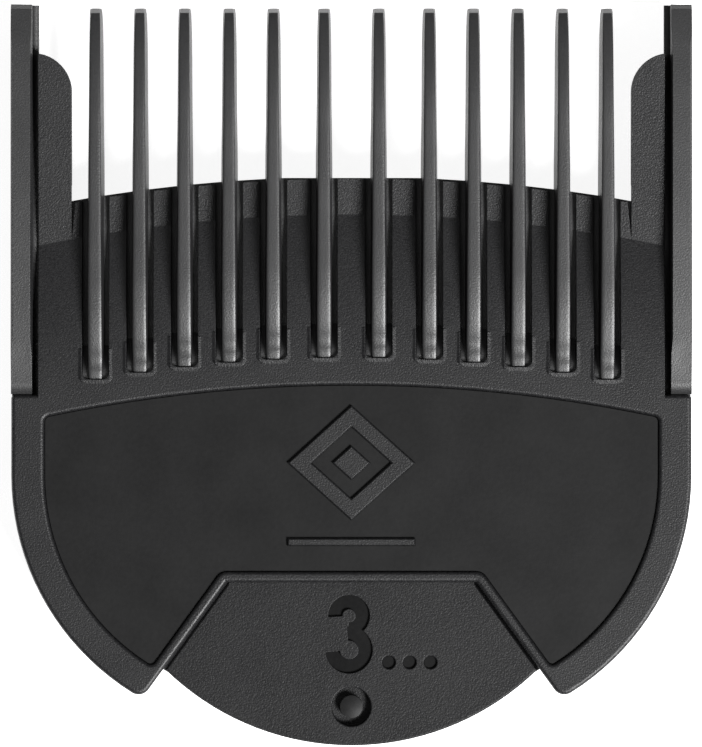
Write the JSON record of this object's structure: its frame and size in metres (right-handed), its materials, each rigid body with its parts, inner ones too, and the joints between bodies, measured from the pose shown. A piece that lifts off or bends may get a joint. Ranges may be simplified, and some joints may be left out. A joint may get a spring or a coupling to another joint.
{
  "type": "clipper guard comb",
  "caption": "Clip-on clipper guard comb with slim ridged teeth, magnetic blade seat, front hooks and a sprung tail tab with a steel heel catch.",
  "frame": {"origin": "middle of the footprint, at the level of the side walls' lower edges", "axes": "+Y towards the tooth tips, +Z out of the skin side, X across the comb"},
  "size_m": [0.049, 0.0534, 0.0083],
  "materials": {
    "textured_shell": "fine spark-eroded texture",
    "tooth_plastic": "satin",
    "panel_plastic": "smooth matt",
    "emblem_plastic": "fine texture",
    "textured_tab": "fine spark-eroded texture",
    "mark_plastic": "smooth",
    "rivet_steel": "black oxide",
    "catch_steel": "rolled strip",
    "pin_steel": "drawn",
    "spring_steel": "drawn wire",
    "magnet_plating": "nickel plated",
    "keeper_steel": "rolled strip"
  },
  "bodies": {
    "comb": {"outer_frame": "textured_shell", "tooth_comb": "tooth_plastic", "cover_panel": "panel_plastic", "emblem_badge": "emblem_plastic", "emblem_bar": "emblem_plastic", "hinge_pin": "pin_steel", "torsion_spring": "spring_steel", "magnet_left": "magnet_plating", "magnet_centre": "magnet_plating", "magnet_right": "magnet_plating", "keeper_plate": "keeper_steel"},
    "tab": {"release_tab": "textured_tab", "size_numeral": "mark_plastic", "size_dots": "mark_plastic", "catch_rivet": "rivet_steel", "heel_catch": "catch_steel"}
  },
  "joints": [
    {"name": "tab_hinge", "type": "hinge", "parent": "comb", "child": "tab", "pos_m": [0, -0.0159, 0.0052], "axis": [-1, 0, 0], "range_deg": [0, 5], "stiffness_Nm_per_rad": 0.02, "springref_deg": -11.46}
  ]
}
